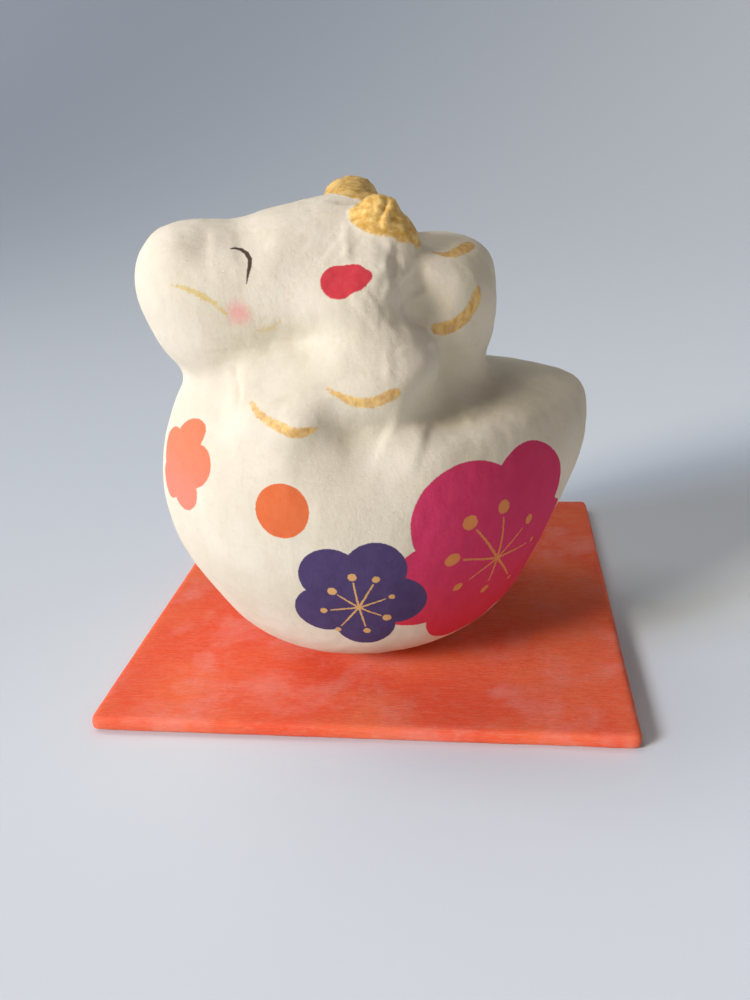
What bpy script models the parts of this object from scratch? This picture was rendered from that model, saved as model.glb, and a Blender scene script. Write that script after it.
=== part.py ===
"""A papier-mache dragon sitting on a square, paper-covered display board.

Metres, +Z up. The origin is the centre of the board's underside, and the
board's front edge runs along X at -Y. The dragon looks towards -X, and is
turned a little on the board, so that its face comes towards the front.
"""

import math

import bmesh
import bpy
from mathutils import Matrix, Vector

# The board.
BOARD_SIDE = 0.090
BOARD_THICKNESS = 0.0028
BOARD_CORNER_RADIUS = 0.0012
BOARD_EDGE_ROUND = 0.0008
BOARD_ROUND_STEPS = 3

# How the dragon stands on it.
FIGURE_HEIGHT = 0.080
SEAT_GAP = 0.0003
STAND_X = -0.0001
STAND_Y = -0.0135
FIGURE_TURN = math.radians(20.0)

# The dragon is a free form. Its proportions are in eightieths of its height,
# in its own frame: X runs from nose to tail, Y to its far side, Z up from its
# seat. Each form is a rounded lump with a centre and three radii, and each
# group of lumps is wrapped in one convex skin. The paired lumps are listed
# once, on the far side, and mirrored to the near side.
UNIT = FIGURE_HEIGHT / 80.0

RIM_HEIGHT = 47.9
BOWL = {
    "belly": ((-0.1, 0.0, 33.1), (35.3, 30.3, 31.6)),
    "foot": ((0.1, 0.0, 17.5), (29.4, 25.1, 18.5)),
    "rump": ((14.2, 0.0, 36.5), (25.5, 23.5, 14.2)),
    "tail_tip": ((37.2, 0.0, 41.8), (3.8, 7.6, 3.8)),
    "spine": ((7.0, 0.0, 46.0), (13.0, 8.0, 5.8)),
    "chest": ((-24.0, 0.0, 48.8), (8.0, 13.0, 6.8)),
}
SKINS = {
    "neck": {
        "collar": ((-4.6, 0.0, 48.4), (26.6, 19.0, 6.8)),
        "throat": ((-1.0, 0.0, 58.0), (19.0, 13.0, 7.0)),
    },
    "snout": {
        "nose": ((-23.3, 0.0, 66.6), (11.6, 12.6, 9.7)),
        "bridge": ((-27.2, 0.0, 67.8), (7.0, 9.5, 8.4)),
        "chin": ((-20.0, 0.0, 61.1), (13.2, 13.3, 10.3)),
    },
    "head": {
        "brow": ((-11.0, 0.0, 65.2), (13.0, 15.0, 11.8)),
        "skull": ((-2.0, 0.0, 64.0), (13.0, 15.0, 14.3)),
    },
    "mane": {
        "top": ((14.2, 0.0, 65.6), (9.6, 12.0, 5.7)),
        "back": ((13.4, 0.0, 56.0), (9.6, 14.5, 7.0)),
        "root": ((4.0, 0.0, 60.0), (8.0, 13.0, 10.0)),
    },
}
PAIRS = {
    "cheek_curl": ((-14.0, 16.4, 50.0), (9.6, 9.4, 7.6)),
    "side_curl": ((-1.0, 17.2, 52.8), (11.0, 9.4, 7.6)),
    "back_curl": ((13.0, 9.5, 62.0), (8.5, 6.5, 7.5)),
    "ear": ((-4.0, 11.5, 64.6), (8.2, 7.6, 7.2)),
}
PRESSES = {
    "under_curls": (8.0, 1.2, ((-10.0, 26.0, 44.0), (-7.0, 26.2, 45.8), (0.0, 25.5, 46.5), (7.0, 23.0, 48.5))),
    "behind_curls": (7.0, 1.2, ((6.0, 23.0, 49.0), (10.0, 19.5, 51.5))),
    "under_jaw": (5.5, 0.7, ((-22.0, 13.0, 55.0), (-12.0, 16.0, 58.3), (-6.0, 18.0, 59.3), (2.0, 17.0, 60.0))),
    "snout_groove": (5.0, 0.8, ((-24.0, 8.0, 75.0), (-24.0, 11.5, 70.0), (-22.0, 12.5, 62.0))),
    "behind_ear": (8.0, -1.7, ((3.7, 12.8, 73.1), (5.3, 11.6, 68.5), (2.7, 15.0, 64.9), (-0.4, 17.4, 62.4))),
    "cheek_top": (8.0, 1.2, ((-18.1, 20.5, 55.7), (-18.1, 23.4, 53.3))),
    "side_top": (7.0, 0.4, ((-2.8, 24.3, 57.2), (0.9, 24.3, 57.0))),
    "between_curls": (6.0, -1.0, ((-13.0, 25.2, 50.0), (-9.6, 24.6, 48.4), (-7.4, 24.6, 48.6))),
    "side_foot": (7.0, -1.0, ((-0.8, 25.9, 48.1), (6.9, 23.1, 47.8))),
    "below_curls": (8.0, 1.1, ((-4.5, 27.8, 42.4), (-2.5, 27.8, 42.4))),
    "face": (10.0, -0.6, ((-20.1, 12.2, 65.5), (-13.2, 14.3, 63.4), (-7.5, 16.5, 59.9))),
    "saddle": (7.0, 1.0, ((-20.7, 8.1, 73.2), (-18.1, 8.2, 73.3))),
    "ear_dip": (6.0, 0.7, ((-5.1, 16.6, 69.2), (-4.0, 17.8, 67.6))),
    "behind_ear_top": (8.0, -0.7, ((5.6, 12.5, 72.5), (6.8, 12.8, 68.6))),
    "under_ear": (8.0, -0.9, ((-20.3, 12.4, 67.2), (-12.9, 15.1, 63.5), (-7.4, 17.6, 60.4), (-1.8, 19.7, 62.4), (2.0, 17.9, 65.4))),
    "cheek_front": (8.0, 0.9, ((-18.2, 19.9, 54.5), (-20.6, 21.8, 49.4))),
    "collar_top": (6.0, 0.7, ((-12.7, 21.0, 56.1), (-7.2, 22.8, 56.7), (-1.9, 24.0, 57.0))),
    "mane_edge": (6.0, 0.5, ((18.0, 11.3, 67.4), (17.1, 14.6, 61.5))),
}
HORNS = {
    "near_horn": {
        "base": ((2.9, -8.2, 71.8), (5.7, 5.2, 3.4)),
        "tip": ((2.9, -7.8, 75.6), (2.9, 2.8, 2.7)),
    },
    "far_horn": {
        "base": ((1.8, 8.2, 72.8), (6.0, 5.2, 3.4)),
        "tip": ((1.9, 7.8, 76.9), (4.6, 3.2, 3.3)),
    },
}

SPHERE_SEGMENTS = 48
SPHERE_RINGS = 24
COARSE_VOXEL = 1.0 * UNIT
COARSE_PASSES = 35
FINE_VOXEL = 0.7 * UNIT
FINE_PASSES = 6
SMOOTH_FACTOR = 0.5
KEPT_SHARE = 0.09
CUT_MARGIN = 10.0 * UNIT

PAPER_WHITE = (0.80, 0.77, 0.70, 1.0)
PAPER_RED = (0.78, 0.13, 0.07, 1.0)
PAPER_ROUGHNESS = 0.85


def clear_scene():
    for obj in list(bpy.data.objects):
        bpy.data.objects.remove(obj, do_unlink=True)


def new_collection(name):
    collection = bpy.data.collections.new(name)
    bpy.context.scene.collection.children.link(collection)
    return collection


def paper_material(name, colour):
    material = bpy.data.materials.new(name)
    material.use_nodes = True
    shader = material.node_tree.nodes["Principled BSDF"]
    shader.inputs["Base Color"].default_value = colour
    shader.inputs["Roughness"].default_value = PAPER_ROUGHNESS
    shader.inputs["Metallic"].default_value = 0.0
    return material


def add_lump(bm, centre, radii):
    """Adds an ellipsoid to bm, in units of the figure."""
    place = Matrix.Translation(Vector(centre) * UNIT) @ Matrix.Diagonal((*radii, 1.0))
    bmesh.ops.create_uvsphere(
        bm,
        u_segments=SPHERE_SEGMENTS,
        v_segments=SPHERE_RINGS,
        radius=UNIT,
        matrix=place,
    )


def add_pairs(bm, lumps):
    """Adds each lump on both sides of the figure."""
    for centre, radii in lumps.values():
        for side in (-1.0, 1.0):
            add_lump(bm, (centre[0], side * centre[1], centre[2]), radii)


def add_skin(bm, lumps, rim=None):
    """Adds the convex skin around some lumps, those above the rim left open."""
    hull = bmesh.new()
    for centre, radii in lumps.values():
        add_lump(hull, centre, radii)
    if rim is not None:
        above = [v for v in hull.verts if v.co.z > rim]
        bmesh.ops.delete(hull, geom=above, context="VERTS")
    made = bmesh.ops.convex_hull(hull, input=hull.verts[:])
    inside = made["geom_interior"] + made["geom_unused"]
    bmesh.ops.delete(hull, geom=[v for v in inside if isinstance(v, bmesh.types.BMVert)], context="VERTS")
    mesh = bpy.data.meshes.new("skin")
    hull.to_mesh(mesh)
    hull.free()
    bm.from_mesh(mesh)
    bpy.data.meshes.remove(mesh)


def distance_to_line(point, line):
    """Returns how far a point is from a line through several spots."""
    best = (point - line[0]).length
    for start, end in zip(line, line[1:]):
        along = end - start
        share = (point - start).dot(along) / along.length_squared
        nearest = start + along * min(max(share, 0.0), 1.0)
        best = min(best, (point - nearest).length)
    return best


def press_pairs(bm, presses):
    """Moves the skin in along some lines, or out where the depth is negative."""
    bm.normal_update()
    for radius, depth, spots in presses.values():
        for side in (-1.0, 1.0):
            line = [Vector((x, side * y, z)) * UNIT for x, y, z in spots]
            for vert in bm.verts:
                share = distance_to_line(vert.co, line) / (radius * UNIT)
                if share < 1.0:
                    vert.co -= vert.normal * depth * UNIT * (1.0 - share * share) ** 2


def fused(bm, voxel, passes):
    """Returns a new bmesh: the overlapping bodies of bm as one softened skin."""
    mesh = bpy.data.meshes.new("loose")
    bm.to_mesh(mesh)
    bm.free()
    loose = bpy.data.objects.new("loose", mesh)
    bpy.context.scene.collection.objects.link(loose)
    fuse = loose.modifiers.new("fuse", "REMESH")
    fuse.mode = "VOXEL"
    fuse.voxel_size = voxel
    soften = loose.modifiers.new("soften", "SMOOTH")
    soften.factor = SMOOTH_FACTOR
    soften.iterations = passes
    graph = bpy.context.evaluated_depsgraph_get()
    result = bmesh.new()
    result.from_object(loose, graph)
    bpy.data.objects.remove(loose, do_unlink=True)
    bpy.data.meshes.remove(mesh)
    return result


def make_seat_cutter(collection, stand):
    """A block below the seat, which leaves the figure a flat spot to stand on."""
    bpy.ops.mesh.primitive_cube_add(size=1.0)
    cutter = bpy.context.active_object
    cutter.name = "seat_cutter"
    cutter.data.transform(Matrix.Diagonal((FIGURE_HEIGHT, FIGURE_HEIGHT, CUT_MARGIN, 1.0)))
    cutter.data.transform(Matrix.Translation((0.0, 0.0, -CUT_MARGIN / 2.0)))
    cutter.parent = stand
    for old in cutter.users_collection:
        old.objects.unlink(cutter)
    collection.objects.link(cutter)
    cutter.hide_render = True
    cutter.display_type = "WIRE"
    return cutter


def make_dragon(parts, cutters):
    """The figure, one moulded piece: body, head, mane, ears and horns."""
    bm = bmesh.new()
    add_skin(bm, BOWL, RIM_HEIGHT * UNIT)
    for lumps in SKINS.values():
        add_skin(bm, lumps)
    add_pairs(bm, PAIRS)
    bm = fused(bm, COARSE_VOXEL, COARSE_PASSES)
    press_pairs(bm, PRESSES)
    for lumps in HORNS.values():
        add_skin(bm, lumps)
    bm = fused(bm, FINE_VOXEL, FINE_PASSES)
    mesh = bpy.data.meshes.new("dragon_figure")
    bm.to_mesh(mesh)
    bm.free()
    mesh.polygons.foreach_set("use_smooth", [True] * len(mesh.polygons))
    dragon = bpy.data.objects.new("dragon_figure", mesh)
    parts.objects.link(dragon)
    stand = bpy.data.objects.new("dragon_stand", None)
    stand.location = (STAND_X, STAND_Y, BOARD_THICKNESS + SEAT_GAP)
    stand.rotation_euler = (0.0, 0.0, FIGURE_TURN)
    parts.objects.link(stand)
    dragon.parent = stand
    thin = dragon.modifiers.new("thin", "DECIMATE")
    thin.ratio = KEPT_SHARE
    seat = dragon.modifiers.new("seat", "BOOLEAN")
    seat.operation = "DIFFERENCE"
    seat.object = make_seat_cutter(cutters, stand)
    dragon.data.materials.append(paper_material("washi_white", PAPER_WHITE))
    return dragon


def make_board(parts):
    """The square board that the figure sits on."""
    bpy.ops.mesh.primitive_cube_add(size=1.0)
    board = bpy.context.active_object
    board.name = "display_board"
    board.data.transform(Matrix.Diagonal((BOARD_SIDE, BOARD_SIDE, BOARD_THICKNESS, 1.0)))
    board.data.transform(Matrix.Translation((0.0, 0.0, BOARD_THICKNESS / 2.0)))
    for old in board.users_collection:
        old.objects.unlink(board)
    parts.objects.link(board)
    bm = bmesh.new()
    bm.from_mesh(board.data)
    upright = [e for e in bm.edges if abs(e.verts[0].co.z - e.verts[1].co.z) > BOARD_THICKNESS / 2.0]
    bmesh.ops.bevel(
        bm,
        geom=upright,
        offset=BOARD_CORNER_RADIUS,
        segments=BOARD_ROUND_STEPS,
        profile=0.5,
        affect="EDGES",
    )
    bm.to_mesh(board.data)
    bm.free()
    edges = board.modifiers.new("soft_edges", "BEVEL")
    edges.width = BOARD_EDGE_ROUND
    edges.segments = BOARD_ROUND_STEPS
    edges.limit_method = "ANGLE"
    edges.angle_limit = math.radians(60.0)
    board.data.materials.append(paper_material("washi_red", PAPER_RED))
    return board


def main():
    clear_scene()
    parts = new_collection("dragon_figurine")
    cutters = new_collection("cutters")
    make_board(parts)
    make_dragon(parts, cutters)


main()
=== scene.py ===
import math

import bmesh
import bpy
import numpy as np
from mathutils import Matrix, Vector, noise
from mathutils.bvhtree import BVHTree


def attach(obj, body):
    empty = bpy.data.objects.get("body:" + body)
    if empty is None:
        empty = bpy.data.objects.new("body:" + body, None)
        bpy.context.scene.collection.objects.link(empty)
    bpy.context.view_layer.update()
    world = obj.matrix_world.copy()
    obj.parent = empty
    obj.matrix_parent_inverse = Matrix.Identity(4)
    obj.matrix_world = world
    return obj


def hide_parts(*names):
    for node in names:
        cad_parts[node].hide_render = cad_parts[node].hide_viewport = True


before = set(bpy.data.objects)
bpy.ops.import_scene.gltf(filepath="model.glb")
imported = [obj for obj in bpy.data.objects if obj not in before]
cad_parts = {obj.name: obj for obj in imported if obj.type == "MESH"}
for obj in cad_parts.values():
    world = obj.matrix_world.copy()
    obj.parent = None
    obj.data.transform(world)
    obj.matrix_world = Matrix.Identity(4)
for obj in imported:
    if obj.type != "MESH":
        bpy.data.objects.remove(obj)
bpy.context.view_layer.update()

MM = 0.001

# The dragon's own frame: X from nose to tail, Y to its far side, Z up from its seat.
STAND_PLACE = (-0.1 * MM, -13.5 * MM, 3.1 * MM)
STAND_TURN = math.radians(20.0)
STAND = Matrix.Translation(STAND_PLACE) @ Matrix.Rotation(STAND_TURN, 4, "Z")
TO_STAND = STAND.inverted()


# The camera, solved from the corners of the board.
CAMERA_PLACE = (0.0223242, -0.1533446, 0.0901842)
CAMERA_RIGHT = (0.99047477, 0.12467324, -0.05844916)
CAMERA_UP = (0.0032699, 0.40306822, 0.91516409)
CAMERA_BACK = (0.13765547, -0.90663807, 0.39882123)
CAMERA_LENS = 30.685
CAMERA_SENSOR = 36.0


def make_camera():
    """Stands where the photograph was taken from."""
    data = bpy.data.cameras.new("camera")
    data.sensor_fit = "AUTO"
    data.sensor_width = CAMERA_SENSOR
    data.lens = CAMERA_LENS
    data.clip_start = 0.01
    data.clip_end = 20.0
    camera = bpy.data.objects.new("camera", data)
    turn = Matrix((CAMERA_RIGHT, CAMERA_UP, CAMERA_BACK)).transposed().to_4x4()
    camera.matrix_world = Matrix.Translation(CAMERA_PLACE) @ turn
    bpy.context.scene.collection.objects.link(camera)
    bpy.context.scene.camera = camera


class Graph:
    """Adds the nodes of one material and links them."""

    def __init__(self, name, frame_of=None):
        self.material = bpy.data.materials.new(name)
        self.material.use_nodes = True
        self.tree = self.material.node_tree
        self.shader = self.tree.nodes["Principled BSDF"]
        here = self.node("ShaderNodeMapping", vector_type="TEXTURE")
        self.put(here.inputs["Vector"], self.node("ShaderNodeTexCoord").outputs["Object"])
        if frame_of is not None:
            here.inputs["Location"].default_value = frame_of.to_translation()
            here.inputs["Rotation"].default_value = frame_of.to_euler()
        here.inputs["Scale"].default_value = (MM, MM, MM)
        self.point = here.outputs[0]

    def node(self, kind, **settings):
        made = self.tree.nodes.new(kind)
        for name, value in settings.items():
            setattr(made, name, value)
        return made

    def put(self, socket, value):
        if isinstance(value, bpy.types.NodeSocket):
            self.tree.links.new(value, socket)
        else:
            socket.default_value = value

    def math(self, operation, a, b=0.0, c=0.0, clamp=False):
        made = self.node("ShaderNodeMath", operation=operation, use_clamp=clamp)
        for socket, value in zip(made.inputs, (a, b, c)):
            self.put(socket, value)
        return made.outputs[0]

    def vector(self, operation, a, b=(0.0, 0.0, 0.0), scale=1.0):
        made = self.node("ShaderNodeVectorMath", operation=operation)
        self.put(made.inputs[0], a)
        self.put(made.inputs[1], b)
        if operation == "SCALE":
            self.put(made.inputs[3], scale)
        scalar = operation in ("DOT_PRODUCT", "LENGTH", "DISTANCE")
        return made.outputs["Value" if scalar else "Vector"]

    def step(self, value, low, high, bottom=0.0, top=1.0):
        """A smooth step: bottom at low, top at high."""
        made = self.node("ShaderNodeMapRange", interpolation_type="SMOOTHSTEP")
        for socket, number in zip(made.inputs, (value, low, high, bottom, top)):
            self.put(socket, number)
        return made.outputs[0]

    def mix(self, share, a, b):
        """The first colour, or the second where the share is 1."""
        made = self.node("ShaderNodeMix", data_type="RGBA")
        self.put(made.inputs[0], share)
        self.put(made.inputs[6], a)
        self.put(made.inputs[7], b)
        return made.outputs[2]

    def noise(self, point, scale, detail=2.0, rough=0.5, warp=0.0):
        made = self.node("ShaderNodeTexNoise")
        self.put(made.inputs["Vector"], point)
        made.inputs["Scale"].default_value = scale
        made.inputs["Detail"].default_value = detail
        made.inputs["Roughness"].default_value = rough
        made.inputs["Distortion"].default_value = warp
        return made.outputs[0]

    def stretch(self, point, turn, scale):
        """The point turned, then scaled along its new axes."""
        made = self.node("ShaderNodeMapping", vector_type="POINT")
        self.put(made.inputs["Vector"], point)
        made.inputs["Rotation"].default_value = [math.radians(a) for a in turn]
        made.inputs["Scale"].default_value = scale
        return made.outputs[0]

    def number(self, name):
        """A value kept at each point of the mesh."""
        return self.node("ShaderNodeAttribute", attribute_name=name).outputs["Fac"]

    def fibres(self, point, turns, length, width, thin):
        """Fine threads that lie in several directions, 1 on a thread and 0 between."""
        found = None
        for turn in turns:
            laid = self.stretch(point, turn, (1.0 / length, 1.0 / width, 1.0 / width))
            grain = self.noise(laid, 1.0, 1.0, 0.4, 0.35)
            line = self.math("ABSOLUTE", self.math("SUBTRACT", grain, 0.5))
            thread = self.step(line, 0.0, thin, 1.0, 0.0)
            found = thread if found is None else self.math("MAXIMUM", found, thread)
        return found

    def finish(self, colour, height, depth, distance):
        """Sets the colour, and a fine relief from a height of 0 to 1, its distance in millimetres."""
        self.put(self.shader.inputs["Base Color"], colour)
        bump = self.node("ShaderNodeBump")
        bump.inputs["Strength"].default_value = depth
        bump.inputs["Distance"].default_value = distance * MM
        self.put(bump.inputs["Height"], height)
        self.tree.links.new(bump.outputs["Normal"], self.shader.inputs["Normal"])
        return self.material


def rgb(red, green, blue):
    """A colour as seen, 0 to 255, for a shader."""
    def linear(c):
        c /= 255.0
        return c / 12.92 if c <= 0.04045 else ((c + 0.055) / 1.055) ** 2.4
    return (linear(red), linear(green), linear(blue), 1.0)


class Plane:
    """A flat drawing plane held against the dragon: u and v lie in it, w rises from it. Millimetres."""

    def __init__(self, graph, centre, azimuth, elevation):
        self.graph = graph
        az, el = math.radians(azimuth), math.radians(elevation)
        out = Vector((math.cos(el) * math.cos(az), math.cos(el) * math.sin(az), math.sin(el)))
        side = Vector((0.0, 0.0, 1.0)).cross(out).normalized()
        rise = out.cross(side)
        offset = graph.vector("SUBTRACT", graph.point, centre)
        self.u = graph.vector("DOT_PRODUCT", offset, side)
        self.v = graph.vector("DOT_PRODUCT", offset, rise)
        self.w = graph.vector("DOT_PRODUCT", offset, out)
        flat = graph.node("ShaderNodeCombineXYZ")
        graph.put(flat.inputs[0], self.u)
        graph.put(flat.inputs[1], self.v)
        self.flat = flat.outputs[0]

    def plum(self, turn, petal, reach):
        """How far outside a five-petalled plum blossom."""
        g = self.graph
        away = g.vector("LENGTH", self.flat)
        angle = g.math("SUBTRACT", g.math("ARCTAN2", self.v, self.u), math.radians(turn))
        fifths = g.math("MULTIPLY", angle, 2.5 / math.pi)
        part = g.math("MULTIPLY", g.math("SUBTRACT", fifths, g.math("ROUND", fifths)), 0.4 * math.pi)
        cross = g.math("MULTIPLY", g.math("MULTIPLY", away, g.math("COSINE", part)), -2.0 * reach)
        square = g.math("ADD", g.math("MULTIPLY_ADD", away, away, reach * reach), cross)
        outer = g.math("SUBTRACT", g.math("SQRT", g.math("MAXIMUM", square, 0.0)), petal)
        return g.math("MINIMUM", outer, g.math("SUBTRACT", away, 0.8 * reach))

    def stroke(self, spots):
        """How far outside a brush line through (u, v, half width) spots."""
        g = self.graph
        found = None
        for (u0, v0, w0), (u1, v1, w1) in zip(spots, spots[1:]):
            along = Vector((u1 - u0, v1 - v0, 0.0))
            offset = g.vector("SUBTRACT", self.flat, (u0, v0, 0.0))
            share = g.vector("DOT_PRODUCT", offset, along / along.length_squared)
            share = g.math("ADD", share, 0.0, clamp=True)
            miss = g.vector("LENGTH", g.vector("SUBTRACT", offset, g.vector("SCALE", along, scale=share)))
            gap = g.math("SUBTRACT", miss, g.math("MULTIPLY_ADD", share, w1 - w0, w0))
            found = gap if found is None else g.math("MINIMUM", found, gap)
        return found

    def dots(self, spots):
        """How far outside some round dots, (u, v, radius) each."""
        g = self.graph
        found = None
        for u, v, radius in spots:
            gap = g.math("SUBTRACT", g.vector("DISTANCE", self.flat, (u, v, 0.0)), radius)
            found = gap if found is None else g.math("MINIMUM", found, gap)
        return found

    def near(self, mask, depth):
        """The mask, only where the surface is no deeper than this behind the plane."""
        return self.graph.math("MULTIPLY", mask, self.graph.step(self.w, -depth - 1.0, -depth))


def stamens(plane, centre, lengths, angles, line, dot, gap):
    """Thin rays from the heart of a blossom, and the dots past their ends."""
    u0, v0 = centre
    rays, heads = [], []
    for length, angle, size in zip(lengths, angles, dot):
        c, s = math.cos(math.radians(angle)), math.sin(math.radians(angle))
        rays.append(((u0, v0, line), (u0 + (length - gap) * c, v0 + (length - gap) * s, 0.6 * line)))
        heads.append((u0 + length * c, v0 + length * s, size))
    found = plane.dots(heads)
    for ray in rays:
        found = plane.graph.math("MINIMUM", found, plane.stroke(ray))
    return found


def washi(g):
    """Unbleached handmade paper: its colour and its fine relief."""
    threads = g.fibres(g.point, ((10, 20, 15), (50, -30, 75), (-35, 60, 130)), 1.5, 0.22, 0.035)
    cloud = g.noise(g.point, 0.11, 3.0, 0.55)
    fleck = g.noise(g.point, 0.9, 4.0, 0.6)
    colour = g.mix(g.step(cloud, 0.35, 0.65), rgb(218, 210, 187), rgb(225, 217, 197))
    colour = g.mix(g.math("MULTIPLY", g.step(fleck, 0.52, 0.72), 0.35), colour, rgb(210, 199, 173))
    colour = g.mix(g.math("MULTIPLY", threads, 0.25), colour, rgb(234, 229, 213))
    pulp = g.noise(g.vector("MULTIPLY", g.point, (1.0, 1.0, 0.6)), 1.6, 4.0, 0.6)
    height = g.math("MULTIPLY_ADD", threads, 0.3, pulp)
    return colour, height


class Brush:
    """Lays painted marks over the paper of one material."""

    def __init__(self, graph):
        self.graph = graph
        self.grain = graph.math("SUBTRACT", graph.noise(graph.point, 3.0, 3.0, 0.6), 0.5)

    def soft(self, gap, edge=0.08, wobble=0.25):
        """1 inside a mark, with the slightly uneven edge of a brush on paper."""
        rough = self.graph.math("MULTIPLY_ADD", self.grain, wobble, gap)
        return self.graph.step(rough, -edge, edge, 1.0, 0.0)

    def thin(self, share, mask):
        return self.graph.math("MULTIPLY", mask, share)

    def mottled(self, point, scale, share, a, b):
        """A colour with soft spots of another."""
        return self.graph.mix(self.thin(share, self.graph.noise(point, scale, 4.0, 0.6)), a, b)


def blossoms(g, brush, colour):
    """Three plum blossoms and a round dot, on the near side of the body."""
    # Magenta blossom, redder towards its foot.
    rose = Plane(g, *ROSE_PLANE)
    bloom = g.math("MINIMUM", rose.plum(*ROSE), rose.dots(ROSE_FAR_EDGE))
    body = rose.near(brush.soft(bloom), 34.0)
    up = g.vector("DOT_PRODUCT", g.point, (0.0, 0.0, 1.0))
    tint = g.mix(g.step(up, 10.0, 30.0), rgb(214, 46, 60), rgb(202, 48, 94))
    colour = g.mix(body, colour, brush.mottled(g.point, 0.35, 0.4, tint, rgb(222, 86, 122)))
    lines = rose.near(brush.soft(stamens(rose, *ROSE_STAMENS), 0.07, 0.5), 22.0)
    colour = g.mix(brush.thin(0.85, lines), colour, rgb(222, 150, 78))

    # Navy blossom over it.
    night = Plane(g, *NIGHT_PLANE)
    body = night.near(brush.soft(night.plum(*NIGHT)), 18.0)
    colour = g.mix(body, colour, brush.mottled(g.point, 0.4, 0.8, rgb(68, 54, 96), rgb(90, 74, 116)))
    lines = night.near(brush.soft(stamens(night, *NIGHT_STAMENS), 0.07, 0.4), 18.0)
    colour = g.mix(brush.thin(0.9, lines), colour, rgb(226, 178, 110))

    # Coral blossom on the breast.
    coral = Plane(g, *CORAL_PLANE)
    body = coral.near(brush.soft(coral.plum(*CORAL)), 12.0)
    tint = g.mix(g.step(coral.v, -5.0, 4.0), rgb(232, 126, 106), rgb(234, 118, 80))
    colour = g.mix(body, colour, brush.mottled(g.point, 0.5, 0.5, tint, rgb(238, 146, 120)))

    # Orange dot.
    spot = Plane(g, *DOT_PLANE)
    body = spot.near(brush.soft(spot.dots(((0.0, 0.0, DOT_RADIUS),))), 10.0)
    return g.mix(body, colour, brush.mottled(g.point, 0.6, 0.7, rgb(214, 99, 51), rgb(226, 129, 82)))


def mirrored(g):
    """The point, with the far side folded onto the near one."""
    split = g.node("ShaderNodeSeparateXYZ")
    g.put(split.inputs[0], g.point)
    fold = g.node("ShaderNodeCombineXYZ")
    g.put(fold.inputs[0], split.outputs[0])
    g.put(fold.inputs[1], g.math("MULTIPLY", g.math("ABSOLUTE", split.outputs[1]), -1.0))
    g.put(fold.inputs[2], split.outputs[2])
    return fold.outputs[0]


def face(g, brush, colour, whole):
    """Blush, ear patch and closed eye, alike on both sides."""
    blush = g.vector("DISTANCE", g.point, BLUSH)
    uneven = g.math("MULTIPLY_ADD", g.noise(whole, 0.8, 3.0, 0.6), 1.2, -0.6)
    blush = g.math("ADD", blush, uneven)
    colour = g.mix(g.step(blush, 0.2, 2.7, 0.55, 0.0), colour, rgb(240, 132, 136))
    side = Plane(g, *EAR_PATCH)
    patch = side.near(brush.soft(side.stroke(EAR_PATCH_LINE), 0.12, 0.35), 5.0)
    colour = g.mix(patch, colour, brush.mottled(whole, 0.7, 0.7, rgb(198, 46, 58), rgb(214, 84, 90)))
    lid = Plane(g, *EYE)
    eye = lid.near(brush.soft(lid.stroke(EYE_LINE), 0.1, 0.25), 4.0)
    return g.mix(brush.thin(0.95, eye), colour, rgb(58, 34, 24))


def gilding(g, brush, colour, whole):
    """Gold: the smile and the mane's arcs are brushed thinly, the horns are covered, their gold patched with
    painted highlight and painted shade.
    """
    speck = g.math("SUBTRACT", g.noise(whole, 1.7, 5.0, 0.7), 0.5)
    lip = Plane(g, *SMILE)
    corner = Plane(g, *SMILE_END)
    front = g.math("MULTIPLY_ADD", speck, 2.2, lip.stroke(SMILE_LINE))
    front = lip.near(g.step(front, -0.22, 0.16, 0.75, 0.0), 5.0)
    end = g.math("MULTIPLY_ADD", speck, 2.4, corner.stroke(SMILE_END_LINE))
    end = corner.near(g.step(end, -0.3, 0.3, 0.4, 0.0), 5.0)
    smile = g.math("MAXIMUM", front, end)
    colour = g.mix(smile, colour, rgb(216, 188, 104))
    arcs = g.math("MULTIPLY_ADD", speck, 1.1, g.number("gold_gap"))
    arcs = g.step(arcs, -0.22, 0.16, 0.92, 0.0)
    worn = g.math("MULTIPLY_ADD", g.noise(whole, 1.1, 3.0, 0.6), -0.7, 1.25, clamp=True)
    arcs = g.math("MULTIPLY", arcs, worn)
    horn = brush.soft(g.number("horn_gap"), 0.1, 0.4)
    gilt = g.math("MAXIMUM", arcs, horn)
    # The horns' gold is mixed by noise from a darker gold, a painted shade, and a lighter gold, a painted
    # highlight.
    gilt_highlight_and_shade = g.mix(g.step(g.noise(whole, 0.9, 4.0, 0.65), 0.34, 0.7), rgb(218, 170, 84), rgb(246, 214, 138))
    dabs = g.noise(g.vector("MULTIPLY", whole, (1.1, 1.1, 0.7)), 1.0, 4.0, 0.6)
    dabbed = g.mix(g.step(dabs, 0.3, 0.7), rgb(204, 150, 66), rgb(236, 198, 112))
    colour = g.mix(arcs, colour, dabbed)
    colour = g.mix(horn, colour, gilt_highlight_and_shade)
    g.put(g.shader.inputs["Metallic"], g.math("MULTIPLY_ADD", horn, 0.4, g.math("MULTIPLY", arcs, 0.12)))
    g.put(g.shader.inputs["Roughness"], g.math("MULTIPLY_ADD", gilt, -0.42, 0.9))
    return colour


def dragon_material():
    g = Graph("painted_washi", STAND)
    colour, height = washi(g)
    brush = Brush(g)
    colour = blossoms(g, brush, colour)
    whole = g.point
    g.point = mirrored(g)
    colour = face(g, brush, colour, whole)
    colour = gilding(g, brush, colour, whole)
    g.shader.inputs["Specular IOR Level"].default_value = 0.2
    return g.finish(colour, height, 0.35, 0.3)


# The planes of the blossoms and the dot: centre, azimuth and elevation of the way they face.
ROSE_PLANE = ((15.7, -25.78, 24.84), -50.9, -3.3)
NIGHT_PLANE = ((-7.87, -27.15, 21.64), -106.1, 8.7)
CORAL_PLANE = ((-31.7, -10.45, 40.91), -175.4, 8.2)
DOT_PLANE = ((-18.3, -26.28, 37.03), -121.0, 0.0)
DOT_RADIUS = 4.13

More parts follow.
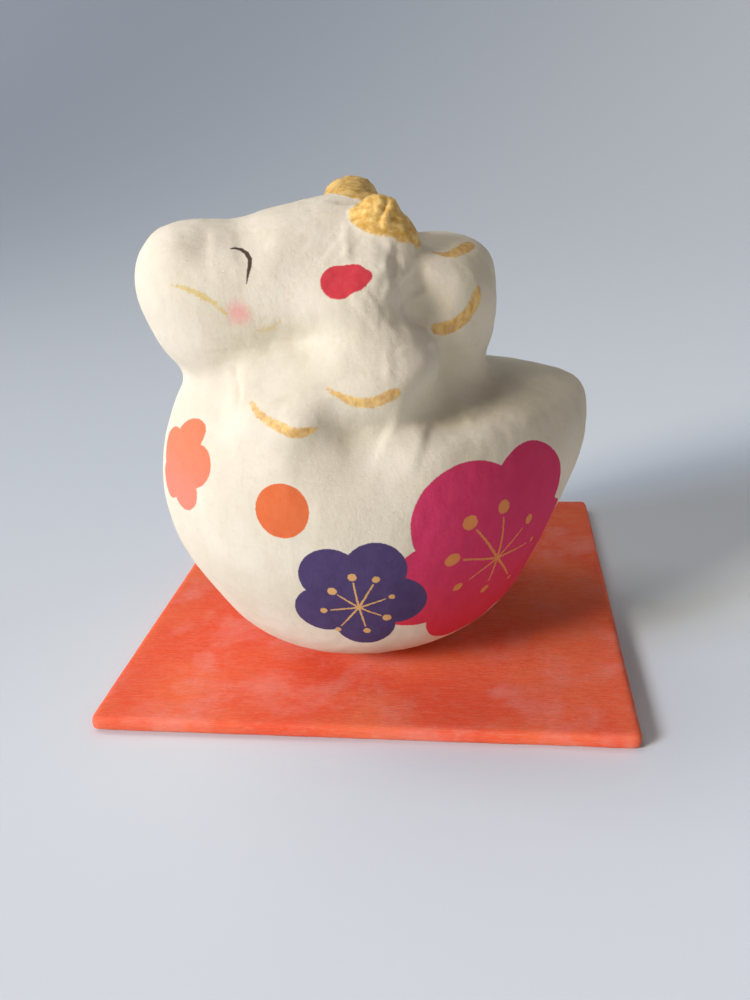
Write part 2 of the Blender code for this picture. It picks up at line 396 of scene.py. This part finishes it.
# Blossoms: turn in degrees, petal radius, reach of the petals' centres.
ROSE = (127.1, 8.99, 9.53)
# Two more petals of the magenta blossom, where it turns round the body: u, v, radius.
ROSE_FAR_EDGE = ((10.3, -8.7, 7.0), (12.9, -2.3, 6.7))
NIGHT = (131.1, 4.77, 5.85)
CORAL = (85.7, 3.37, 3.97)
# Stamens: heart, lengths, angles, line's half width, dots' radii, gap between line and dot.
ROSE_STAMENS = (
    (-0.30, -1.07),
    (10.4, 9.3, 7.8, 8.8, 9.8, 6.7, 7.0, 8.8),
    (126.7, 91.0, 41.0, 0.1, -46.7, -87.1, -148.0, 163.7),
    0.22, (1.2, 1.1, 0.85, 0.45, 0.4, 0.75, 0.75, 1.15), 1.9,
)
NIGHT_STAMENS = (
    (-0.05, -2.02),
    (6.1, 6.25, 5.5, 4.9, 5.5, 6.3, 5.6, 5.15),
    (94.3, 60.6, 19.3, -33.7, -82.7, -128.1, -174.6, 136.7),
    0.19, (0.68, 0.58, 0.48, 0.7, 0.58, 0.48, 0.56, 0.72), 1.1,
)

# Marks on the face, each in its own plane: centre, azimuth, elevation, then spots (u, v, half width).
EYE = ((-18.2, -11.8, 70.3), -103.3, 51.6)
EYE_LINE = (
    (-1.99, 3.26, 0.16), (-1.36, 3.5, 0.26), (-0.61, 3.3, 0.3), (0.26, 2.36, 0.33), (0.85, 0.94, 0.32),
    (0.86, -0.49, 0.29), (0.66, -1.49, 0.22), (0.38, -2.9, 0.06),
)
SMILE = ((-24.9, -12.3, 66.7), -105.3, 8.2)
SMILE_LINE = (
    (-4.27, 1.56, 0.12), (-3.04, 1.3, 0.22), (-2.01, 0.97, 0.32), (-1.02, 0.51, 0.38), (-0.11, -0.03, 0.4),
    (1.57, -1.1, 0.36), (2.47, -1.92, 0.3), (3.36, -2.83, 0.15),
)
SMILE_END = ((-15.9, -14.3, 61.4), -103.8, -22.6)
SMILE_END_LINE = ((-1.71, -0.42, 0.1), (-0.68, -0.36, 0.32), (0.55, -0.03, 0.34), (2.02, 0.96, 0.1))
EAR_PATCH = ((-4.8, -17.6, 67.5), -104.8, 42.7)
EAR_PATCH_LINE = ((-0.65, 0.0, 2.75), (1.3, 0.5, 2.3), (2.9, 0.72, 1.15))
BLUSH = (-19.9, -13.7, 63.8)

# Gold arcs on the mane: spots (along, to the side, up, half width).
GOLD_ARCS = (
    (
        (-20.1, -19.8, 52.2, 0.37), (-19.4, -21.3, 50.9, 0.6), (-18.3, -22.5, 50.0, 0.66),
        (-16.7, -24.2, 49.2, 0.8), (-15.4, -25.1, 48.5, 0.86), (-14.1, -25.4, 48.3, 0.83),
        (-12.6, -25.6, 48.5, 0.7), (-11.5, -25.4, 48.6, 0.27),
    ),
    (
        (-9.5, -23.4, 54.0, 0.24), (-8.3, -24.2, 53.2, 0.46), (-6.8, -24.9, 52.3, 0.62),
        (-5.3, -25.3, 51.8, 0.71), (-3.5, -25.7, 51.6, 0.8), (-2.2, -26.0, 52.0, 0.85),
        (-0.8, -26.0, 52.5, 0.88), (0.2, -25.9, 52.7, 0.67),
    ),
    (
        (9.2, -14.7, 58.7, 0.9), (10.5, -14.8, 58.6, 1.05), (11.9, -15.0, 58.8, 1.1),
        (13.1, -15.0, 59.4, 1.1), (14.4, -14.9, 60.3, 1.05), (15.5, -14.8, 61.5, 1.05),
        (16.2, -14.4, 62.9, 0.95), (16.7, -14.0, 64.0, 0.5),
    ),
    (
        (10.4, -11.3, 69.6, 0.3), (11.8, -11.5, 69.2, 0.55), (13.3, -11.0, 69.0, 0.9),
        (15.2, -9.1, 69.1, 1.0), (16.9, -7.5, 69.4, 1.0), (18.2, -6.0, 69.7, 0.84),
    ),
)

# The horns are cones of folded gold paper: their corners, outer edge first.
HORNS = {
    "near": (
        (-1.9, -7.9, 75.8), (-0.1, -8.0, 76.8), (2.4, -8.0, 77.7), (3.7, -8.3, 78.0),
        (4.8, -8.6, 77.8), (5.4, -9.0, 76.9), (6.3, -9.3, 74.3), (7.5, -9.5, 71.5),
        (-1.5, -10.2, 74.6), (-0.6, -11.6, 73.7), (1.4, -12.8, 73.0), (3.7, -13.3, 72.2),
        (6.2, -12.4, 71.6), (7.4, -6.0, 73.0), (4.0, -5.5, 75.0), (0.0, -5.8, 75.5),
    ),
    "far": (
        (-2.2, 5.0, 78.2), (-0.7, 6.0, 79.5), (0.9, 6.5, 79.9), (2.8, 6.8, 79.8), (4.2, 7.0, 79.1),
        (4.9, 7.0, 78.3), (5.8, 7.0, 76.7), (-1.5, -1.5, 77.7), (0.5, -2.8, 77.5),
        (3.0, -3.0, 77.0), (5.0, -1.5, 76.0), (7.0, 10.0, 74.0), (2.0, 13.0, 73.5),
        (-1.8, 10.5, 75.5),
    ),
}
# Where the gold ends, seen from above: centre, half lengths, and 2 for an oval or more for a squarer one.
HORN_EDGES = (((3.5, -9.5), (5.4, 4.1), 2.0), ((2.6, 4.4), (5.3, 8.0), 2.4))
# No gold lies below this height.
HORN_FOOT = 70.0

# The spacing of the fine meshes, and the middle (along, up) and radius of the evened ear.
DRAGON_VOXEL = 0.5
BOARD_VOXEL = 0.5
EAR_MIDDLE = (0.0, 62.0)
EAR_RADIUS = 4.0


def fine_copy(node, to_own, lumps, voxel, passes):
    """A much finer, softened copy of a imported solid, in millimetres, with some convex lumps fused to it."""
    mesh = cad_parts[node].data.copy()
    mesh.transform(to_own)
    mesh.transform(Matrix.Scale(1.0 / MM, 4))
    bm = bmesh.new()
    bm.from_mesh(mesh)
    for corners in lumps:
        made = [bm.verts.new(corner) for corner in corners]
        hull = bmesh.ops.convex_hull(bm, input=made)
        spare = [item for item in hull["geom_interior"] if isinstance(item, bmesh.types.BMVert)]
        bmesh.ops.delete(bm, geom=spare, context="VERTS")
    bm.to_mesh(mesh)
    bm.free()
    loose = bpy.data.objects.new("loose", mesh)
    bpy.context.scene.collection.objects.link(loose)
    fuse = loose.modifiers.new("fuse", "REMESH")
    fuse.mode = "VOXEL"
    fuse.voxel_size = voxel
    soften = loose.modifiers.new("soften", "SMOOTH")
    soften.factor = 0.5
    soften.iterations = passes
    graph = bpy.context.evaluated_depsgraph_get()
    made = bpy.data.meshes.new_from_object(loose.evaluated_get(graph))
    bpy.data.objects.remove(loose, do_unlink=True)
    return made


def read(mesh, what):
    found = np.zeros(len(mesh.vertices) * 3, np.float32)
    mesh.vertices.foreach_get(what, found)
    return found.reshape(-1, 3).astype(float)


def points_of(mesh):
    return read(mesh, "co")


def normals_of(mesh):
    return read(mesh, "normal")


def set_points(mesh, points):
    mesh.vertices.foreach_set("co", points.astype(np.float32).ravel())
    mesh.update()


def soften(mesh, share, passes):
    """Evens out the skin, by a share of its own at each point."""
    points = points_of(mesh)
    ends = np.zeros(len(mesh.edges) * 2, np.int32)
    mesh.edges.foreach_get("vertices", ends)
    a, b = ends[0::2], ends[1::2]
    count = np.bincount(np.concatenate((a, b)), minlength=len(points))
    for _ in range(passes):
        for axis in range(3):
            value = points[:, axis]
            total = np.bincount(a, value[b], len(points)) + np.bincount(b, value[a], len(points))
            points[:, axis] = value + share * (total / count - value)
    set_points(mesh, points)


def gap_to_line(points, spots):
    """The distance of each point from a line through some spots, and the share of the line there."""
    spots = np.array(spots, float)
    best = np.full(len(points), 1e9)
    share = np.zeros(len(points))
    count = len(spots) - 1
    for i in range(count):
        along = spots[i + 1] - spots[i]
        t = np.clip((points - spots[i]) @ along / (along @ along), 0.0, 1.0)
        gap = np.linalg.norm(points - spots[i] - t[:, None] * along, axis=1)
        closer = gap < best
        best[closer] = gap[closer]
        share[closer] = (i + t[closer]) / count
    return best, share


# Folds in the paper: which side (0 is both), radius, depth (raised where negative), how sharp, spots.
FOLDS = {
    "ear_bulge": (0, 6.0, -0.35, False, ((-3.2, -20.5, 63.4), (-0.7, -20.1, 64.7))),
    "ear_hollow": (0, 5.0, 0.8, False, ((4.4, -15.8, 67.0), (5.8, -15.3, 63.5))),
    "collar_rise": (0, 4.0, -0.9, False, ((2.1, -20.0, 60.3), (5.5, -17.0, 59.3), (8.0, -15.7, 57.4))),
    "head_side": (0, 8.0, -0.2, False, ((-5.1, -12.4, 72.2), (-2.7, -14.2, 71.0))),
    "under_horn": (0, 6.0, -0.2, False, ((3.7, -14.1, 70.7), (6.8, -13.7, 68.7))),
    "neck_fold": (0, 3.5, -0.3, False, ((8.3, -16.0, 56.9), (7.2, -20.4, 52.7))),
    "collar_back": (0, 7.0, -0.8, False, ((-1.7, -23.8, 47.1), (4.4, -26.1, 44.7))),
    "collar_front": (0, 6.0, 0.4, False, ((-19.0, -16.5, 54.5), (-18.6, -21.2, 52.0))),
    "collar_middle": (0, 7.0, 0.8, False, ((-12.7, -22.0, 54.6), (-13.4, -25.8, 49.7))),
    "saddle": (0, 6.0, -0.35, False, ((-23.0, -7.6, 73.0), (-20.5, -8.1, 73.2), (-18.5, -8.3, 73.2))),
    "mane_edge": (0, 6.0, 0.3, False, ((19.9, -6.9, 68.2), (17.6, -13.8, 61.3))),
    "neck_foot": (0, 5.5, -0.8, False, (
        (0.5, -23.7, 46.8), (3.4, -22.7, 46.7), (6.6, -20.7, 46.9), (10.4, -17.7, 47.2),
        (13.9, -15.9, 47.8),
    )),
    "neck_back": (0, 6.0, 0.3, False, ((15.0, -12.3, 50.7), (13.5, -18.1, 47.0))),
    "cheek": (0, 7.0, -0.3, False, ((-22.1, -12.7, 61.4), (-21.7, -12.0, 58.2))),
    "front_cord": (0, 1.4, -0.3, True, (
        (-2.4, -9.3, 75.7), (-2.8, -11.4, 73.5), (-3.3, -13.8, 71.2), (-3.6, -15.4, 69.8),
    )),
    "back_cord": (0, 1.2, -0.3, True, (
        (3.2, -13.4, 72.2), (3.1, -14.3, 70.8), (2.3, -15.8, 69.6), (1.3, -17.5, 68.5),
    )),
    "knot": (0, 1.1, -0.35, True, ((1.5, -17.0, 68.8), (2.1, -17.6, 68.0))),
    "behind_cord": (0, 1.8, 0.5, False, ((3.8, -14.3, 70.4), (3.0, -16.2, 69.0), (2.4, -18.0, 67.6))),
    "under_crease": (0, 1.0, -0.26, True, (
        (1.4, -23.0, 57.5), (2.6, -22.4, 58.0), (5.3, -21.2, 57.6), (8.8, -15.4, 56.7),
    )),
    "side_wrinkle": (0, 1.0, -0.22, True, ((-0.3, -22.5, 58.5), (-0.5, -23.6, 56.7), (-0.8, -25.2, 54.6))),
    "back_v": (0, 1.0, -0.22, True, ((11.8, -17.4, 47.2), (11.9, -20.0, 46.4), (11.8, -23.1, 45.7))),
    "back_v_end": (0, 1.0, -0.22, True, ((14.9, -17.8, 47.1), (13.5, -20.1, 46.5), (11.8, -23.1, 45.7))),
    "notch": (0, 1.5, 0.5, True, (
        (-21.1, -11.6, 55.6), (-21.3, -11.8, 53.9), (-21.8, -16.2, 52.9), (-22.1, -18.2, 51.4),
    )),
    "horn_ridge": (-1, 0.9, -0.4, True, (
        (4.8, -8.7, 77.9), (5.0, -9.6, 76.7), (3.6, -11.2, 75.5), (2.9, -12.1, 74.2), (2.6, -13.2, 72.9),
    )),
    "horn_valley": (-1, 0.8, 0.5, True, ((4.0, -9.4, 77.2), (3.3, -10.6, 76.2), (2.5, -11.4, 75.2))),
    "far_horn_fold": (1, 1.1, 0.5, True, ((4.6, 3.5, 78.4), (3.4, 2.2, 78.0), (2.4, 0.0, 77.6))),
    "parting": (1, 1.6, 0.45, False, ((-3.0, -4.2, 77.9), (0.0, -4.6, 77.2), (5.0, -5.0, 76.4))),
}


def to_near_side(points):
    """The points, with the far side folded onto the near one."""
    folded = points.copy()
    folded[:, 1] = -np.abs(folded[:, 1])
    return folded


def press(mesh, folds):
    """Moves the skin along its normals beside some lines."""
    points, normals = points_of(mesh), normals_of(mesh)
    folded = to_near_side(points)
    moved = np.zeros(len(points))
    for side, radius, depth, sharp, spots in folds.values():
        gap, share = gap_to_line(points if side else folded, spots)
        inner = np.clip(1.0 - gap / radius, 0.0, 1.0)
        shape = inner ** 2 if sharp else (1.0 - np.clip(gap / radius, 0.0, 1.0) ** 2) ** 2
        taper = np.clip(4.0 * np.minimum(share, 1.0 - share) + 0.35, 0.0, 1.0)
        moved += depth * shape * taper
    set_points(mesh, points - normals * moved[:, None])


def horn_gap(points):
    """How far outside the gold of the horns each point is."""
    best = np.full(len(points), 9.0)
    for (s, y), (long, wide), power in HORN_EDGES:
        ahead = np.abs((points[:, 0] - s) / long) ** power
        aside = np.abs((points[:, 1] - y) / wide) ** power
        outside = ((ahead + aside) ** (1.0 / power) - 1.0) * min(long, wide)
        best = np.minimum(best, np.maximum(outside, HORN_FOOT - points[:, 2]))
    return best


def crumple(mesh):
    """The slight unevenness of paper pasted in layers over a mould."""
    points, normals = points_of(mesh), normals_of(mesh)
    gold = np.clip(0.5 - horn_gap(points) / 0.6, 0.0, 1.0)
    moved = np.empty(len(points))
    for i, point in enumerate(points):
        p = Vector(point)
        tall = Vector((p.x, p.y, 0.6 * p.z))
        broad = noise.noise(p * 0.16)
        small = noise.noise(tall * 0.5 + Vector((40.0, 0.0, 0.0)))
        fine = noise.noise(tall * 1.15 + Vector((0.0, 70.0, 0.0)))
        moved[i] = 0.14 * broad + 0.075 * small + 0.02 * fine
        if p.z > 50.0:
            pleat = 1.0 - 2.0 * abs(noise.noise(Vector((0.75 * p.x, 0.75 * abs(p.y), 0.2 * p.z))))
            near = max(0.0, 1.0 - math.dist((p.x, p.z), (1.0, 67.0)) / 9.0)
            moved[i] += (0.035 + 0.15 * near) * pleat * min(1.0, (p.z - 50.0) / 6.0)
        if gold[i] > 0.0:
            moved[i] += gold[i] * (0.3 - 0.45 * abs(noise.noise(p * 0.55 + Vector((0.0, 0.0, 90.0)))))
    seat = np.clip(points[:, 2] / 3.0, 0.0, 1.0)
    set_points(mesh, points + normals * (moved * seat)[:, None])


def keep_number(mesh, name, values):
    kept = mesh.attributes.new(name, "FLOAT", "POINT")
    kept.data.foreach_set("value", values.astype(np.float32))


def mark_gold(mesh):
    """Keeps, at each point, how far outside the gold arcs and the horns it is."""
    points = points_of(mesh)
    folded = to_near_side(points)
    tree = BVHTree.FromPolygons([Vector(p) for p in points], [p.vertices[:] for p in mesh.polygons])
    best = np.full(len(points), 9.0)
    for arc in GOLD_ARCS:
        laid = [tree.find_nearest(Vector(spot[:3]))[0] for spot in arc]
        for i in range(len(arc) - 1):
            along = np.array(laid[i + 1] - laid[i])
            t = np.clip((folded - np.array(laid[i])) @ along / (along @ along), 0.0, 1.0)
            gap = np.linalg.norm(folded - np.array(laid[i]) - t[:, None] * along, axis=1)
            best = np.minimum(best, gap - arc[i][3] - t * (arc[i + 1][3] - arc[i][3]))
    keep_number(mesh, "gold_gap", np.clip(best, -5.0, 5.0))
    keep_number(mesh, "horn_gap", np.clip(horn_gap(points), -5.0, 5.0))


def shown(name, mesh, material):
    """A smooth-shaded object of one material, in the scene."""
    mesh.polygons.foreach_set("use_smooth", [True] * len(mesh.polygons))
    mesh.materials.clear()
    mesh.materials.append(material)
    piece = bpy.data.objects.new(name, mesh)
    bpy.context.scene.collection.objects.link(piece)
    return piece


def make_dragon():
    """The dragon's skin: fused horns, evened surface, folds, unevenness and paint."""
    mesh = fine_copy("dragon_figure", TO_STAND, HORNS.values(), DRAGON_VOXEL, 4)
    points = points_of(mesh)
    clear = np.clip(horn_gap(points) / 1.5, 0.0, 1.0)
    soften(mesh, 0.6 * clear, 15)
    ear = np.hypot(points[:, 0] - EAR_MIDDLE[0], points[:, 2] - EAR_MIDDLE[1])
    soften(mesh, 0.7 * np.clip(2.0 - ear / EAR_RADIUS, 0.0, 1.0), 38)
    press(mesh, FOLDS)
    crumple(mesh)
    mark_gold(mesh)
    mesh.transform(STAND @ Matrix.Scale(MM, 4))
    dragon = shown("dragon_papier_mache", mesh, dragon_material())
    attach(dragon, "root")
    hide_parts("dragon_figure")


def board_material():
    g = Graph("red_washi")
    threads = g.fibres(g.point, ((0, 0, 25), (0, 0, 80), (0, 0, 140)), 7.0, 0.28, 0.04)
    hairs = g.fibres(g.point, ((0, 0, 50), (0, 0, 115)), 3.5, 0.16, 0.03)
    cloud = g.noise(g.point, 0.045, 3.0, 0.55, 0.4)
    patch = g.noise(g.vector("ADD", g.point, (31.0, 7.0, 0.0)), 0.09, 4.0, 0.6, 0.3)
    colour = g.mix(g.step(cloud, 0.35, 0.62), rgb(236, 84, 49), rgb(243, 108, 64))
    colour = g.mix(g.math("MULTIPLY", g.step(patch, 0.46, 0.68), 0.6), colour, rgb(240, 140, 124))
    colour = g.mix(g.math("MULTIPLY", threads, 0.32), colour, rgb(244, 160, 128))
    colour = g.mix(g.math("MULTIPLY", hairs, 0.25), colour, rgb(200, 60, 40))
    pulp = g.noise(g.point, 1.6, 5.0, 0.62)
    height = g.math("MULTIPLY_ADD", threads, 0.5, pulp)
    g.shader.inputs["Roughness"].default_value = 0.85
    g.shader.inputs["Specular IOR Level"].default_value = 0.3
    return g.finish(colour, height, 0.4, 0.25)


def make_board():
    """A finer copy of the board, whose paper cover lies a little unevenly."""
    mesh = fine_copy("display_board", Matrix.Identity(4), (), BOARD_VOXEL, 3)
    points, normals = points_of(mesh), normals_of(mesh)
    moved = np.empty(len(points))
    for i, point in enumerate(points):
        p = Vector(point)
        moved[i] = 0.05 * noise.noise(p * 0.12) + 0.035 * noise.noise(p * 0.7)
    inward = np.minimum(moved - 0.06, 0.0)
    set_points(mesh, points + normals * inward[:, None])
    mesh.transform(Matrix.Scale(MM, 4))
    board = shown("paper_covered_board", mesh, board_material())
    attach(board, "root")
    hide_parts("display_board")


def make_floor():
    """A pale sheet that lies flat and sweeps up far behind; its colour grows darker towards the back and the
    left, as painted shade.
    """
    bm = bmesh.new()
    profile = [(-2.0, 0.0)]
    for i in range(61):
        t = i / 60.0
        profile.append((0.15 + 1.75 * t, 1.6 * t ** 3))
    rows = [[bm.verts.new((x, y, z)) for y, z in profile] for x in (-3.0, 3.0)]
    for i in range(len(profile) - 1):
        bm.faces.new((rows[0][i], rows[1][i], rows[1][i + 1], rows[0][i + 1]))
    mesh = bpy.data.meshes.new("floor")
    bm.to_mesh(mesh)
    bm.free()
    g = Graph("pale_floor")
    cloud = g.noise(g.point, 0.004, 2.0, 0.5)
    colour = g.mix(cloud, rgb(231, 239, 243), rgb(233, 241, 245))
    # Painted shade: the sheet's colour darkens towards the back and the left, down to the grey-blue below.
    far = g.step(g.vector("DOT_PRODUCT", g.point, (-1.6, 1.0, 0.0)), -950.0, 1900.0)
    colour = g.mix(far, colour, rgb(131, 140, 149))
    g.shader.inputs["Roughness"].default_value = 0.7
    g.finish(colour, g.noise(g.point, 0.8, 3.0, 0.5), 0.03, 0.1)
    floor = shown("floor", mesh, g.material)


LAMPS = (
    # azimuth from the front towards the left, elevation, side of the square, strength in red, green and blue
    (48.0, 25.0, 0.6, 1.20, 1.05, 0.90),
    (58.0, 25.0, 0.6, 0.46, 0.58, 0.83),
    (135.0, 65.0, 1.5, 0.255, 0.26, 0.245),
    (-45.0, 12.0, 1.5, 0.235, 0.18, 0.125),
    (100.0, 44.0, 0.9, 0.276, 0.25, 0.26),
    (-90.0, 35.0, 1.5, 0.107, 0.112, 0.148),
    (90.0, 65.0, 1.5, 0.075, 0.068, 0.061),
)
LAMP_DISTANCE = 2.5
LAMP_WATTS = 43.4


def make_light():
    """Soft window light from the left front, and weaker light from the rest of a pale room."""
    world = bpy.data.worlds.new("room")
    world.use_nodes = True
    world.node_tree.nodes["Background"].inputs[0].default_value = (0.0, 0.0, 0.0, 1.0)
    bpy.context.scene.world = world
    target = Vector((0.0, -0.01, 0.03))
    for i, (azimuth, elevation, side, red, green, blue) in enumerate(LAMPS):
        az, el = math.radians(azimuth), math.radians(elevation)
        away = Vector((-math.cos(el) * math.sin(az), -math.cos(el) * math.cos(az), math.sin(el)))
        data = bpy.data.lights.new(f"window_{i}", "AREA")
        data.shape = "SQUARE"
        data.size = side
        data.energy = LAMP_WATTS
        data.color = (red, green, blue)
        lamp = bpy.data.objects.new(data.name, data)
        lamp.location = target + LAMP_DISTANCE * away
        lamp.rotation_euler = away.to_track_quat("Z", "Y").to_euler()
        bpy.context.scene.collection.objects.link(lamp)
    bpy.context.scene.view_settings.view_transform = "Standard"


make_camera()
make_floor()
make_light()
make_dragon()
make_board()
bpy.context.view_layer.update()
